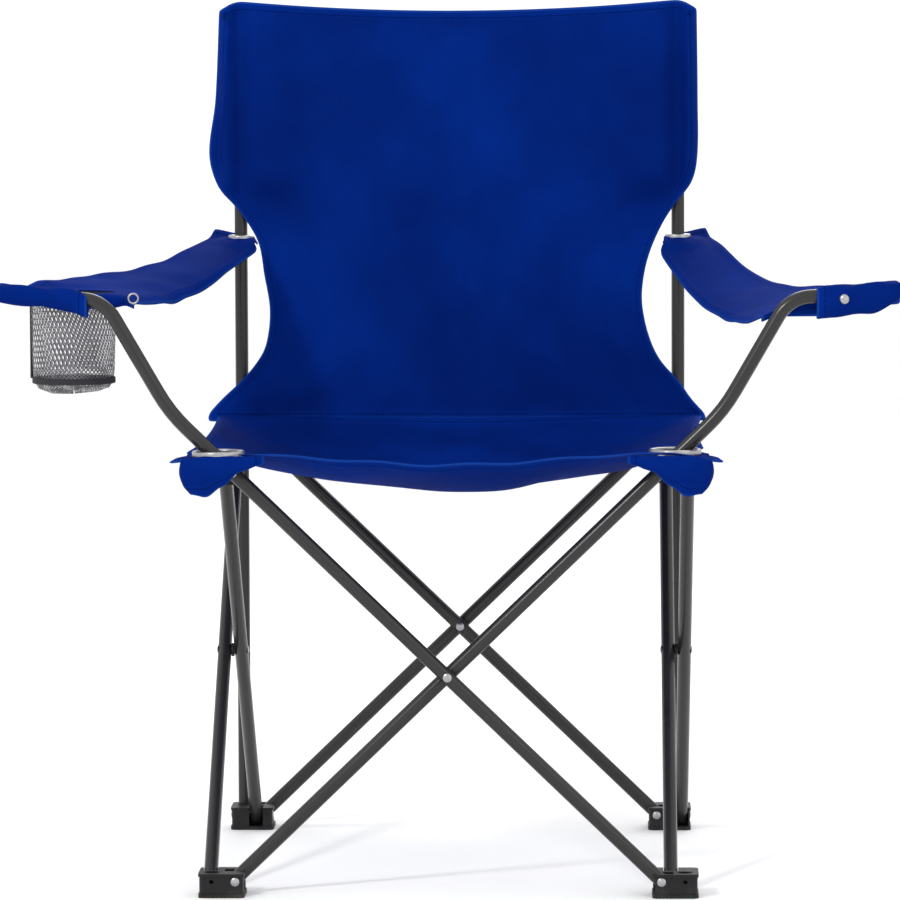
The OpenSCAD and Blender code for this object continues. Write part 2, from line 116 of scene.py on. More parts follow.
# %% [markdown]
# ## Camera
# A long lens from five metres away keeps the chair's uprights nearly parallel. The
# camera stands a little right of the middle, just above seat height, and looks slightly
# down.

# %% Camera
eye = Vector((0.1436, -4.913, 0.7742))
heading, dip, roll = math.radians(-1.715), math.radians(4.369), math.radians(-0.216)
camera = bpy.data.objects.new("camera", bpy.data.cameras.new("camera"))
camera.data.lens = 204.35
camera.data.sensor_width = 36
camera.matrix_world = (
    Matrix.Translation(eye)
    @ Matrix.Rotation(-heading, 4, "Z")
    @ Matrix.Rotation(math.pi / 2 - dip, 4, "X")
    @ Matrix.Rotation(roll, 4, "Z")
)
bpy.context.scene.collection.objects.link(camera)
bpy.context.scene.camera = camera
print("camera", round(eye.length, 2), "m from the chair's middle")

# %% [markdown]
# ## Floor and light
# The floor and the surroundings are pale and plain. A small lamp high on the left draws
# a narrow highlight along each tube. Two large soft ones, in front on the right and
# behind, keep the shadows open.

# %% Floor and lights
def link(name, data):
    thing = bpy.data.objects.new(name, data)
    bpy.context.scene.collection.objects.link(thing)
    return thing


floor_shape = bmesh.new()
bmesh.ops.create_grid(floor_shape, x_segments=1, y_segments=1, size=14)
floor = link("floor", bpy.data.meshes.new("floor"))
floor_shape.to_mesh(floor.data)
floor_shape.free()


def soft_light(name, place, towards, size, watts):
    lamp = link(name, bpy.data.lights.new(name, "AREA"))
    lamp.data.size = size
    lamp.data.energy = watts
    lamp.location = place
    aim = Vector(towards) - Vector(place)
    lamp.rotation_euler = aim.to_track_quat("-Z", "Y").to_euler()


middle = (0, 0, 0.45)
soft_light("key_light", (-1.9, -2.6, 2.5), middle, 0.35, 50)
soft_light("fill_light", (2.4, -2.2, 1.5), middle, 2.2, 10)
soft_light("back_light", (0.5, 2.6, 2.3), middle, 2.0, 34)
world = bpy.data.worlds.new("studio")
world.use_nodes = True
surroundings = world.node_tree.nodes["Background"].inputs
surroundings["Color"].default_value = (1, 1, 1, 1)
surroundings["Strength"].default_value = 1.1
bpy.context.scene.world = world
bpy.context.scene.view_settings.view_transform = "Standard"
print("floor, three lamps and white surroundings")

# %% [markdown]
# ## Writing materials as sums
# A material is a small program. Wrapping a socket in a class with the usual operators
# lets a pattern such as a row of stitches be written the way it would be on paper. The
# second class is a material on one Principled shader, with the few patterns used below.

# %% Shader helpers
class Reading:
    """A value that a shader works out. Sums with it add Math nodes."""

    def __init__(self, finish, made):
        self.finish = finish
        self.made = made

    def math(self, operation, first, second=0.0):
        return self.finish.node("ShaderNodeMath", {"operation": operation}, {0: first, 1: second})

    def __add__(self, other):
        return self.math("ADD", self, other)

    def __sub__(self, other):
        return self.math("SUBTRACT", self, other)

    def __rsub__(self, other):
        return self.math("SUBTRACT", other, self)

    def __mul__(self, other):
        return self.math("MULTIPLY", self, other)

    def size(self):
        return self.math("ABSOLUTE", self)

    def wave(self, pitch):
        """From 0 to 1 and back over each pitch."""
        return self.math("SINE", self * (2 * math.pi / pitch)) * 0.5 + 0.5

    def clear(self, low, high):
        """0 below low, 1 above high and smooth between."""
        return self.finish.node(
            "ShaderNodeMapRange",
            {"interpolation_type": "SMOOTHSTEP"},
            {"Value": self, "From Min": low, "From Max": high},
        )


class Finish:
    """A material on one Principled shader."""

    def __init__(self, name, **fixed):
        self.material = bpy.data.materials.new(name)
        self.material.use_nodes = True
        self.tree = self.material.node_tree
        self.shader = self.tree.nodes["Principled BSDF"]
        for socket, value in fixed.items():
            self.shader.inputs[socket.replace("_", " ")].default_value = value

    def node(self, kind, settings, sockets, output=0):
        made = self.tree.nodes.new(kind)
        for key, value in settings.items():
            setattr(made, key, value)
        for key, value in sockets.items():
            self.join(value, made.inputs[key])
        return Reading(self, made.outputs[output])

    def join(self, value, socket):
        if isinstance(value, Reading):
            self.tree.links.new(value.made, socket)
        else:
            socket.default_value = value

    def drive(self, socket, value):
        self.join(value, self.shader.inputs[socket])

    def mix(self, share, first, second):
        """From the first colour to the second. A Mix node's colours are its sockets 6 and 7."""
        return self.node("ShaderNodeMix", {"data_type": "RGBA"}, {0: share, 6: first, 7: second}, 2)

    def place(self):
        """The point's own place in metres."""
        return self.node("ShaderNodeTexCoord", {}, {}, "Object")

    def part(self, vector, axis):
        return self.node("ShaderNodeSeparateXYZ", {}, {0: vector}, axis)

    def carried(self, name):
        """A number that the mesh carries at each of its points."""
        return self.node("ShaderNodeAttribute", {"attribute_name": name}, {}, "Fac")

    def flat_cut(self):
        """The point's place on the flat cut, in metres."""
        return self.node("ShaderNodeUVMap", {"uv_map": "cut"}, {})

    def scaled(self, vector, x, y, z):
        return self.node("ShaderNodeMapping", {}, {"Vector": vector, "Scale": (x, y, z)})

    def grain(self, vector, scale, detail=2.0, rough=0.5):
        """Cloudy noise, with scale features to a metre."""
        sockets = {"Vector": vector, "Scale": scale, "Detail": detail, "Roughness": rough}
        return self.node("ShaderNodeTexNoise", {}, sockets)

    def relief(self, height, depth, under=None):
        """A bump of that depth in metres, on top of another one."""
        sockets = {"Height": height, "Strength": 1.0, "Distance": depth}
        if under is not None:
            sockets["Normal"] = under
        return self.node("ShaderNodeBump", {}, sockets)


# %% [markdown]
# ## Powder coat
# The tubes are powder coated: dark grey, half gloss, with the faint dimples that the
# powder leaves as it melts and a few places rubbed paler along the tubes.

# %% Powder coat
def powder_coat():
    coat = Finish("powder_coat", Metallic=0.3, Specular_IOR_Level=0.4)
    dark_grey = (0.026, 0.025, 0.025, 1)
    rubbed_grey = (0.070, 0.068, 0.066, 1)
    dimple_depth = 0.00006
    place = coat.place()
    dimples = coat.grain(place, 900, 2)
    cloudy = coat.grain(place, 22, 3)
    made_paler = coat.grain(coat.scaled(place, 60, 60, 9), 4, 4, 0.7).clear(0.66, 0.74)
    coat.drive("Base Color", coat.mix(made_paler * 0.5, dark_grey, rubbed_grey))
    coat.drive("Roughness", cloudy * 0.10 + 0.19 + made_paler * 0.14)
    coat.drive("Normal", coat.relief(dimples, dimple_depth))
    return coat.material


# %% [markdown]
# ## Moulded plastic
# The feet and joints are moulded in black plastic with a fine sparked grain. Dust makes
# them paler near the ground.

# %% Moulded plastic
def moulded_plastic():
    black = Finish("moulded_plastic", Specular_IOR_Level=0.22)
    plain_black = (0.010, 0.010, 0.011, 1)
    dusty_black = (0.050, 0.048, 0.045, 1)
    dust_height = 0.016
    grain_depth = 0.00008
    place = black.place()
    grain = black.grain(place, 2600, 2)
    cloudy = black.grain(place, 55, 4, 0.65)
    near_ground = 1 - black.part(place, "Z").clear(0.0, dust_height)
    dusty = near_ground * cloudy.clear(0.4, 0.75)
    black.drive("Base Color", black.mix(dusty * 0.7, plain_black, dusty_black))
    black.drive("Roughness", cloudy * 0.2 + 0.42 + dusty * 0.2)
    black.drive("Normal", black.relief(grain, grain_depth))
    return black.material


# %% [markdown]
# ## Zinc plating
# Rivets, screws and eyelets are zinc plated, which is bright but never quite even.

# %% Zinc plating
def zinc_plate():
    zinc = Finish("zinc_plate", Metallic=1.0)
    dull_zinc = (0.26, 0.26, 0.27, 1)
    bright_zinc = (0.50, 0.50, 0.51, 1)
    grain_depth = 0.00003
    place = zinc.place()
    cloudy = zinc.grain(place, 260, 4, 0.6)
    fine = zinc.grain(place, 3000, 2)
    zinc.drive("Base Color", zinc.mix(cloudy, dull_zinc, bright_zinc))
    zinc.drive("Roughness", cloudy * 0.25 + 0.2)
    zinc.drive("Normal", zinc.relief(fine, grain_depth))
    return zinc.material


# %% [markdown]
# ## Woven cloth
# The cloth is a coated polyester in a plain weave. Its threads are far too small to
# model, so the weave is a bump made of two crossed waves on the piece's own flat cut,
# which each sheet carries as a UV map in metres. The same map carries the hems: a row of
# stitches runs inside each one, and the cloth puckers a little between the stitches.

# %% Woven cloth
def woven(name, deep, worn_and_highlight):
    cloth = Finish(name, Specular_IOR_Level=0.02, Sheen_Weight=0.01, Sheen_Roughness=0.4)
    cloth.shader.inputs["Sheen Tint"].default_value = (*deep[:3], 1)
    highlight_blue = (0.012, 0.065, 0.33, 1)
    stitch_blue = tuple(c * 0.5 for c in deep[:3]) + (1,)
    thread = 0.0011
    crease_depth, pucker_depth, thread_depth = 0.004, 0.0005, 0.00012
    cut = cloth.flat_cut()
    warp = cloth.part(cut, "X").wave(thread)
    weft = cloth.part(cut, "Y").wave(thread)
    edge = cloth.carried("hem")
    run = cloth.carried("run")
    weave = warp * weft + (1 - warp) * (1 - weft)
    slub = cloth.grain(cloth.scaled(cut, 900, 60, 1), 1, 2) * 0.5
    cloudy = cloth.grain(cut, 5, 4, 0.55)
    creases = cloth.grain(cloth.scaled(cut, 9, 4, 1), 1.6, 4, 0.6)
    in_hem = 1 - edge.clear(hem * 0.98, hem * 1.12)
    edge_highlight = 1 - edge.clear(0.0010, 0.0030)
    from_row = (edge - stitch_row).size()
    stitch = (1 - from_row.clear(0.0004, 0.0007)) * run.wave(stitch_length).clear(0.22, 0.4)
    pucker = run.wave(stitch_length * 2) * (1 - from_row.clear(0.001, 0.004))
    # The cloudy mix of deep and worn blue is the cloth's own uneven tone. The paler hems, and the paler
    # band within a few millimetres of each hem's edge, are painted highlight: light catching the folded
    # edges.
    tone = cloth.mix(cloudy.clear(0.3, 0.75), deep, worn_and_highlight)
    hem_highlight = cloth.mix(in_hem * 0.35, tone, worn_and_highlight)
    made_paler = cloth.mix(edge_highlight * 0.4, hem_highlight, highlight_blue)
    cloth.drive("Base Color", cloth.mix(stitch * 0.8, made_paler, stitch_blue))
    cloth.drive("Roughness", cloudy * 0.12 + 0.72 + weave * 0.05)
    broad = cloth.relief(creases, crease_depth)
    puckered = cloth.relief(pucker * 0.5 + stitch, pucker_depth, broad)
    cloth.drive("Normal", cloth.relief(weave + slub, thread_depth, puckered))
    return cloth.material


# %% [markdown]
# ## Net
# The cup holder is knitted net: a diamond mesh of fine grey yarn with daylight between.
# Real holes would need a hundred thousand faces, so the yarn is drawn by a mask on the
# net's own map and everything between it is see-through. Low down the net is gathered
# in places: there the yarn is drawn denser, and the shade in its folds is painted near-black.

# %% Net
def knitted_net():
    net = Finish("knitted_net", Roughness=0.6, Specular_IOR_Level=0.3)
    dark_yarn = (0.06, 0.06, 0.07, 1)
    pale_yarn = (0.21, 0.21, 0.23, 1)
    fold_shade_black = (0.012, 0.012, 0.014, 1)
    mesh_pitch = 0.0042
    mesh_lean = 0.62
    yarn_depth = 0.0004
    cut = net.flat_cut()
    across = net.part(cut, "X") + net.grain(cut, 90, 2) * 0.0012
    leaning = net.part(cut, "Y") * mesh_lean
    one_way = (across + leaning).wave(mesh_pitch)
    other_way = (across - leaning).wave(mesh_pitch)
    yarn = one_way.clear(0.72, 0.80) + other_way.clear(0.72, 0.80)
    low_down = net.part(cut, "Y").clear(0.040, 0.072)
    gathered_and_shaded = low_down * net.grain(cut, 45, 3).clear(0.40, 0.62)
    grey = net.mix(net.grain(cut, 60, 3), dark_yarn, pale_yarn)
    # Painted shade: in the gathered patches low on the net, near-black stands in for the shade inside
    # the folds, and the yarn there is also made denser.
    net.drive("Base Color", net.mix(gathered_and_shaded * 0.75, grey, fold_shade_black))
    net.drive("Alpha", yarn.math("MINIMUM", yarn + gathered_and_shaded * 0.5, 1.0))
    net.drive("Normal", net.relief(one_way + other_way, yarn_depth))
    return net.material


# %% [markdown]
# ## Binding tape
# The tape that binds the net's mouth is black and finely ribbed.

# %% Binding tape
def binding_tape():
    tape = Finish("binding_tape", Roughness=0.75, Specular_IOR_Level=0.3)
    black = (0.013, 0.013, 0.016, 1)
    faded_black = (0.035, 0.035, 0.042, 1)
    rib_depth = 0.0003
    place = tape.place()
    rib_sockets = {"Vector": place, "Scale": 420.0, "Distortion": 0.6}
    ribs = tape.node("ShaderNodeTexWave", {"bands_direction": "Z"}, rib_sockets)
    tape.drive("Base Color", tape.mix(tape.grain(place, 70, 3), black, faded_black))
    tape.drive("Normal", tape.relief(ribs, rib_depth))
    return tape.material


# %% [markdown]
# ## All the finishes
# The floor gets a pale, faintly cloudy paint. Each finish is made once and kept under
# the name of the slot that it fills.

# %% All the finishes
def studio_floor():
    pale = Finish("studio_floor", Roughness=0.9)
    cloudy = pale.grain(pale.place(), 1.2, 2)
    pale.drive("Base Color", pale.mix(cloudy, (0.89, 0.89, 0.89, 1), (0.92, 0.92, 0.92, 1)))
    return pale.material


# The worn blue is the cloth's paler, worn tone and also the painted highlight on the hems.
deep_blue = (0.0002, 0.0105, 0.122, 1)
worn_and_highlight_blue = (0.0003, 0.0195, 0.205, 1)
finishes = {
    "tube": powder_coat(),
    "plastic": moulded_plastic(),
    "zinc": zinc_plate(),
    "cloth": woven("blue_cloth", deep_blue, worn_and_highlight_blue),
    "net": knitted_net(),
    "binding": binding_tape(),
}
floor.data.materials.append(studio_floor())
print("finishes:", ", ".join(finishes))

# %% [markdown]
# ## The hard parts
# The frame's CAD meshes are exact but sharp, and their triangles aren't joined. A merged
# copy of each can be shaded smoothly. The plastic ones also get the small rounded edges
# that a mould leaves. Each copy rides where its CAD part rides.

# %% Finish a hard part
pairs = ["{}_arm_strap", "{}_arm_pocket", "{}_post_cap"]
pairs += ["seat_corner_{}", "seat_eyelet_{}", "strap_eyelet_{}"]
made_below = {"seat", "back", "cup_holder_net", "cup_holder_rim"}
made_below.update(name.format(word) for name in pairs for side, word in sides)
weld_gap = 2e-6
mould_edge = 0.0005
finish_word = {"tube": "painted", "plastic": "moulded", "zinc": "plated"}


def settle(piece, node_names, body, slot):
    """Gives a piece the finish made for its slot, hides the CAD nodes that it stands for and puts it on
    the body it rides on.
    """
    piece.data.materials.clear()
    piece.data.materials.append(finishes[slot])
    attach(piece, body)
    if node_names:
        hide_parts(*node_names)
    return piece


def smooth_shade(mesh, degrees):
    mesh.polygons.foreach_set("use_smooth", [True] * len(mesh.polygons))
    mesh.set_sharp_from_angle(angle=math.radians(degrees))


def hard_part(node):
    slot = slot_of_node[node]
    shape = bmesh.new()
    shape.from_mesh(frame["nodes"][node].data)
    bmesh.ops.remove_doubles(shape, verts=shape.verts, dist=weld_gap)
    piece = link(finish_word[slot] + "_" + node, bpy.data.meshes.new(node + "_finished"))
    if slot == "plastic":
        flat = math.radians(1)
        bmesh.ops.dissolve_limit(shape, angle_limit=flat, verts=shape.verts, edges=shape.edges)
    shape.to_mesh(piece.data)
    shape.free()
    smooth_shade(piece.data, 32)
    if slot == "plastic":
        edges = piece.modifiers.new("moulded_edges", "BEVEL")
        edges.width = mould_edge
        edges.segments = 2
        edges.limit_method = "ANGLE"
        edges.angle_limit = math.radians(50)
        edges.harden_normals = False
    return settle(piece, [node], body_of_node[node], slot)


hard_nodes = [n for n in frame["nodes"] if n not in made_below]
for node in hard_nodes:
    hard_part(node)
print(len(hard_nodes), "hard parts finished")

# %% [markdown]
# ## Turned parts
# Caps, eyelets and tapes are round, so each is a half outline spun about its own axis.
# Their round edges are short arcs in the outline.

# %% Spin an outline
def turned(name, centre, outline, steps=48):
    """Spins an outline of (radius, height) points, in metres, about a vertical axis."""
    shape = bmesh.new()
    points = [shape.verts.new((r, 0, z)) for r, z in outline]
    edges = [shape.edges.new(pair) for pair in zip(points, points[1:])]
    bmesh.ops.spin(
        shape,
        geom=points + edges,
        cent=(0, 0, 0),
        axis=(0, 0, 1),
        dvec=(0, 0, 0),
        angle=2 * math.pi,
        steps=steps,
        use_merge=True,
        use_duplicate=False,
    )
    bmesh.ops.remove_doubles(shape, verts=shape.verts, dist=1e-6)
    bmesh.ops.recalc_face_normals(shape, faces=shape.faces)
    bmesh.ops.translate(shape, verts=shape.verts, vec=centre)
    piece = link(name, bpy.data.meshes.new(name))
    shape.to_mesh(piece.data)
    shape.free()
    smooth_shade(piece.data, 40)
    return piece


def arc(radius_at, height_at, radius, start, stop, count):
    """Points along an arc in an outline, with angles in degrees."""
    angles = [math.radians(start + (stop - start) * i / count) for i in range(count + 1)]
    return [(radius_at + radius * math.cos(a), height_at + radius * math.sin(a)) for a in angles]


# %% [markdown]
# ## Caps and eyelets
# A cap closes the top of each back post. An eyelet is two rolled flanges that grip the
# cloth between them, and it takes its size and place from its CAD ring.

# %% Caps and eyelets
def post_cap(side, name):
    round_edge, skirt, under_cut = 0.002, 0.0105, 0.0006
    outline = [(0, cap_top + 0.0012)]
    outline += arc(tube_r - round_edge, cap_top - 0.0008, round_edge, 90, 0, 5)
    outline += [(tube_r, cap_top - 0.010), (tube_r - under_cut, cap_top - skirt), (0, cap_top - skirt)]
    return turned(name, (side * post_x, post_y, 0), outline, 32)


def eyelet(name, node):
    low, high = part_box(node)
    band, flatten, lift, neck = 0.0045, 0.62, 0.0002, 0.0032
    outer = (high.x - low.x) / 2
    inner = outer - band
    centre = ((high.x + low.x) / 2, (high.y + low.y) / 2, low.z)
    rolled = arc(inner + band / 2, 0, band / 2, 0, 180, 10)
    top = [(r, lift + z * flatten) for r, z in rolled]
    under = [(r, -neck - lift - z * flatten) for r, z in reversed(rolled)]
    return turned(name, centre, top + [(inner, -neck)] + under + [(outer, lift)])


for side, word in sides:
    node = word + "_post_cap"
    settle(post_cap(side, word + "_cap"), [node], body_of_node[node], "plastic")
print("two post caps")

# %% [markdown]
# ## Sewing a sheet
# Each cloth piece starts as a flat grid. Lines of the grid sit close together at the
# hems, where the cloth is folded double, and wider apart inside. A function then says
# where each point of the flat cut goes in the finished chair. The sheet keeps its flat
# cut as a UV map, so that the weave runs the way it was cut.

# %% Grid lines with hems
def mix(a, b, t):
    return a + (b - a) * t


def smooth(t):
    t = max(0.0, min(1.0, t))
    return t * t * (3 - 2 * t)


def lines(length, step, first=True, last=True):
    """Places from 0 to 1 of the grid lines over a length, with extra ones at the hems."""
    sewn_edge = [0, hem * 0.55, hem, hem * 1.18]
    start = sewn_edge if first else [0]
    stop = [length - x for x in (sewn_edge if last else [0])][::-1]
    low, high = start[-1], stop[0]
    count = max(2, round((high - low) / step))
    inside = [mix(low, high, i / count) for i in range(1, count)]
    return [x / length for x in start + inside + stop]


def rumple(point, size, depth):
    """A gentle unevenness that is the same on every run."""
    return depth * noise.noise(Vector(point) / size)


def through(points, x):
    """A smooth line through a few (x, y) points."""
    for (x0, y0), (x1, y1) in zip(points, points[1:]):
        if x <= x1:
            return mix(y0, y1, smooth((x - x0) / (x1 - x0)))
    return points[-1][1]


# %% [markdown]
# ## From flat cut to sheet
# A sheet also carries two numbers at each point: how far it is from the nearest hem's
# edge, and how far along that hem it is. The cloth's finish draws its stitches by them.
# A hole is cut by taking out the points inside it and moving the next ones to its rim.

# %% Sheet
def sheet(width, length, place, step, hems="lrbt", wrap=False):
    """A sheet of cloth of that cut. place turns (across, along), from 0 to 1, into a point.
    hems says which edges are sewn: left, right, bottom (along 0) and top (along 1).
    wrap joins the left and right or bottom and top edges where they meet."""
    across = lines(width, step, "l" in hems, "r" in hems)
    along = lines(length, step, "b" in hems, "t" in hems)
    shape = bmesh.new()
    bmesh.ops.create_grid(shape, x_segments=len(across) - 1, y_segments=len(along) - 1, size=0.5)
    cut = shape.loops.layers.uv.new("cut")
    edge = shape.verts.layers.float.new("hem")
    run = shape.verts.layers.float.new("run")
    flat = {}
    for v in shape.verts:
        s = across[round((v.co.x + 0.5) * (len(across) - 1))]
        t = along[round((v.co.y + 0.5) * (len(along) - 1))]
        reach = {"l": s * width, "r": (1 - s) * width, "b": t * length, "t": (1 - t) * length}
        nearest = min([reach[h] for h in hems] or [1.0])
        v[edge] = nearest
        v[run] = t * length if nearest in (reach["l"], reach["r"]) else s * width
        flat[v] = ((s - 0.5) * width, t * length)
        v.co = place(s, t)
    for face in shape.faces:
        for loop in face.loops:
            loop[cut].uv = flat[loop.vert]
    if wrap:
        bmesh.ops.remove_doubles(shape, verts=shape.verts, dist=1e-5)
    return shape


def punch(shape, centre, radius):
    """Cuts a round hole, seen from above. The points along the cut edge move to its rim."""
    nearby = 0.016
    middle = Vector(centre)
    inside = [v for v in shape.verts if (v.co.xy - middle).length < radius]
    bmesh.ops.delete(shape, geom=inside, context="VERTS")
    rim = [v for v in shape.verts if v.is_boundary and (v.co.xy - middle).length < radius + nearby]
    for v in rim:
        v.co.xy = middle + (v.co.xy - middle).normalized() * radius


def mesh_piece(name, shape):
    """Makes the shape an object of its own and shades it smoothly all over."""
    piece = link(name, bpy.data.meshes.new(name))
    shape.to_mesh(piece.data)
    shape.free()
    smooth_shade(piece.data, 180)
    return piece


def sewn(name, shape, nodes, body, turn=False):
    """Makes a sheet a piece of cloth. turn swaps its faces' two sides."""
    if turn:
        bmesh.ops.reverse_faces(shape, faces=shape.faces)
    piece = mesh_piece(name, shape)
    double = piece.vertex_groups.new(name="doubled")
    for v, edge in zip(piece.data.vertices, piece.data.attributes["hem"].data):
        if edge.value < hem * 1.05:
            double.add([v.index], 1.0, "REPLACE")
    return settle(piece, nodes, body, "cloth")


def thicken(piece, thickness=0.0012):
    """Gives a sheet its thickness, twice as much at the hems, and softens its folds."""
    wall = piece.modifiers.new("cloth_thickness", "SOLIDIFY")
    wall.thickness = thickness * 2
    wall.offset = 0
    wall.vertex_group = "doubled"
    wall.thickness_vertex_group = 0.5
    fine = piece.modifiers.new("soft_folds", "SUBSURF")
    fine.levels = 1
    fine.render_levels = 1


# %% [markdown]
# ## Cloth that folds with the frame
# When the chair folds, its corners come together and the cloth between them goes slack.
# A Hook modifier lets each point of a sheet follow another body by a weight. Weights
# that run evenly from corner to corner fold the sheet as the frame moves, and they leave
# it untouched while the chair stands open.

# %% Follow a body
def follow(piece, body, weight):
    """Hooks a piece to a body. weight turns a point into its share, from 0 to 1."""
    name = "to_" + body
    group = piece.vertex_groups.new(name=name)
    for v in piece.data.vertices:
        share = weight(v.co)
        if share > 0.001:
            group.add([v.index], share, "REPLACE")
    hook = piece.modifiers.new(name, "HOOK")
    hook.object = frame["bodies"][body]
    hook.vertex_group = name
    hook.falloff_type = "NONE"
    hook.matrix_inverse = Matrix.Identity(4)


def corner_share(side_x, side_y, slack=0.0):
    """The bilinear share of one corner of the frame, less what hangs slack in the middle."""
    pin_x, pin_y = abs(pivot["front_right_joint_pivot"].x), abs(pivot["fold"].y)

    def share(p):
        x = max(0.0, min(1.0, 0.5 + side_x * p.x / (2 * pin_x)))
        y = max(0.0, min(1.0, 0.5 + side_y * p.y / (2 * pin_y)))
        loose = slack * 16 * x * (1 - x) * y * (1 - y)
        return x * y * (1 - loose)

    return share


def slack_share(side_x, side_y, slack):
    """The share of the slack middle that goes down with the leg or foot near that corner."""
    whole = corner_share(side_x, side_y)
    held = corner_share(side_x, side_y, slack)
    return lambda p: whole(p) - held(p)


# %% [markdown]
# ## The seat
# The seat is a sling. Its side hems are pulled straight between the upper joints, its
# front hem dips a little, and the cloth between them hangs in a shallow bowl. It lies
# flat over the joints at the four corners, where eyelets let the arm tubes through.

# %% Seat
seat_front = seat_low.y + 0.004
seat_rear = seat_high.y + 0.0005
seat_wide_front = 0.2405
seat_wide_rear = 0.2440
rim_front = joint_top + 0.0052
rim_rear = joint_top + 0.0085
rim_sag = 0.003
front_dip = 0.0095
dip_reach = 0.8
seat_bowl = rim_front - seat_low.z - 0.003
ear = 0.0145
side_draw = 0.006
front_round = 0.004
ripple = 0.0012
hang = 0.85


def seat_point(s, t):
    a, b = 2 * s - 1, 2 * t - 1
    tip = ear * smooth((abs(a) - 0.86) / 0.14) * (1 - smooth(t / 0.16))
    half = mix(seat_wide_front, seat_wide_rear, t) - side_draw * (1 - b * b)
    x = a * half + math.copysign(tip, a)
    y = mix(seat_front, seat_rear, t) + front_round * (1 - a * a) * (1 - t) ** 6
    wavy = ripple * math.sin(x * 75) * (1 - a * a) * (1 - t) ** 4
    front = rim_front - front_dip * smooth(1 - abs(a) / dip_reach) - 0.5 * tip + wavy
    rear = mix(rim_front + rim_sag, rim_rear, smooth((abs(a) - 0.2) / 0.8))
    full = max(0.0, 1 - abs(a) ** 2.4) * max(0.0, 1 - abs(b) ** 3) ** 0.8
    bowl = (seat_bowl - 0.45 * front_dip) * full * smooth(full / 0.2)
    soft = min(1.0, full * 2) * rumple((x, y, 0), 0.09, 0.005)
    return Vector((x, y, mix(front, rear, smooth(t)) - bowl + soft))


seat_width = 2 * seat_wide_rear + 0.01
seat_length = seat_rear - seat_front + 0.02
shape = sheet(seat_width, seat_length, seat_point, 0.0085)
for side, word in sides:
    low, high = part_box("seat_eyelet_" + word)
    hole = ((low.x + high.x) / 2, (low.y + high.y) / 2)
    punch(shape, hole, (high.x - low.x) / 2 - 0.0022)
seat = sewn("seat_sling", shape, ["seat"], "rear_left_sleeve")
follow(seat, "rear_right_sleeve", corner_share(1, 1, hang))
follow(seat, "front_left_joint", corner_share(-1, -1, hang))
follow(seat, "front_right_joint", corner_share(1, -1, hang))
follow(seat, "rear_left_leg", slack_share(-1, 1, hang))
follow(seat, "rear_right_leg", slack_share(1, 1, hang))
follow(seat, "front_left_foot", slack_share(-1, -1, hang))
follow(seat, "front_right_foot", slack_share(1, -1, hang))
thicken(seat)
print("seat", len(seat.data.vertices), "points")

# %% [markdown]
# ## Seat corners
# A loose lobe of cloth hangs below each front corner of the seat, where the hem is
# folded round the joint. It runs along the front, turns the corner and fades out along
# the side.

# %% Seat corners
lobe_front, lobe_side = 0.080, 0.060
lobe_cut = (lobe_front + lobe_side, 0.034)
lobe_drop = [(0, 0.007), (0.30, 0.014), (0.58, 0.029), (0.78, 0.0385), (1, 0.034)]
lobe_gap = 0.0012
turn_length = 0.024
draw_in = 0.010
swell_depth = 0.008
ripple_depth = 0.0025


def corner_lobe(side):
    def point(s, t):
        gone = s * (lobe_front + lobe_side)
        forward, sideways = min(gone, lobe_front), max(0.0, gone - lobe_front)
        turn = smooth((gone - lobe_front + turn_length / 2) / turn_length)
        x = seat_wide_front + 0.006 - lobe_front + forward - 0.004 * turn
        x -= draw_in * t * smooth(forward / lobe_front)
        y = seat_front - lobe_gap + sideways + 0.003 * turn
        fall = through(lobe_drop, forward / lobe_front) * (1 - smooth(sideways / lobe_side))
        swell = swell_depth * math.sin(math.pi * t) * smooth(gone / 0.05)
        swell *= 1 - smooth((gone - 0.10) / 0.03)
        wave = ripple_depth * t * math.sin(gone * 110) + swell
        x += wave * turn
        y -= wave * (1 - turn)
        hem_z = rim_front - front_dip * smooth(1 - x / seat_wide_front / dip_reach) - lobe_gap
        return Vector((side * x, y, hem_z - 0.004 * smooth((x - 0.225) / 0.02) - fall * t))

    return point


for side, word in sides:
    joint = "front_" + word + "_joint"
    shape = sheet(*lobe_cut, corner_lobe(side), 0.005, "lrt")
    lobe = sewn("corner_lobe_" + word, shape, ["seat_corner_" + word], joint, turn=side > 0)
    thicken(lobe)
    node = "seat_eyelet_" + word
    settle(eyelet("corner_eyelet_" + word, node), [node], joint, "zinc")
print("two corner lobes and their eyelets")

# %% [markdown]
# ## The back
# The back is cut to an hourglass: wide hips that join the seat, a waist between the
# posts and shoulders that reach round them. A pocket is sewn down each shoulder, and the
# posts push up into the pockets and hold the back taut.

# %% Back
back_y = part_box("back")[0].y + 0.0013
back_low = joint_top + 0.0035
back_rise = cap_top + 0.0155
back_outline = {
    -1: [
        (0.404, 0.2490), (0.416, 0.2540), (0.434, 0.2404), (0.452, 0.2205), (0.470, 0.2050),
        (0.488, 0.1950), (0.524, 0.1905), (0.560, 0.1960), (0.596, 0.2030), (0.632, 0.2270),
        (0.656, 0.2440), (0.687, 0.2515), (0.741, 0.2448), (0.835, 0.2398),
    ],
    1: [
        (0.404, 0.2440), (0.416, 0.2480), (0.434, 0.2330), (0.452, 0.2205), (0.470, 0.2040),
        (0.488, 0.1940), (0.515, 0.1860), (0.542, 0.1835), (0.578, 0.1900), (0.614, 0.2060),
        (0.651, 0.2315), (0.680, 0.2390), (0.741, 0.2395), (0.835, 0.2385),
    ],
}
top_sag = 0.010
shoulder_drop = 0.009
back_bow = 0.010
back_rumple = 0.006
middle_crease = 0.0022
groove_depth = 0.0115
over_post = 0.0100
beside_post = 0.018


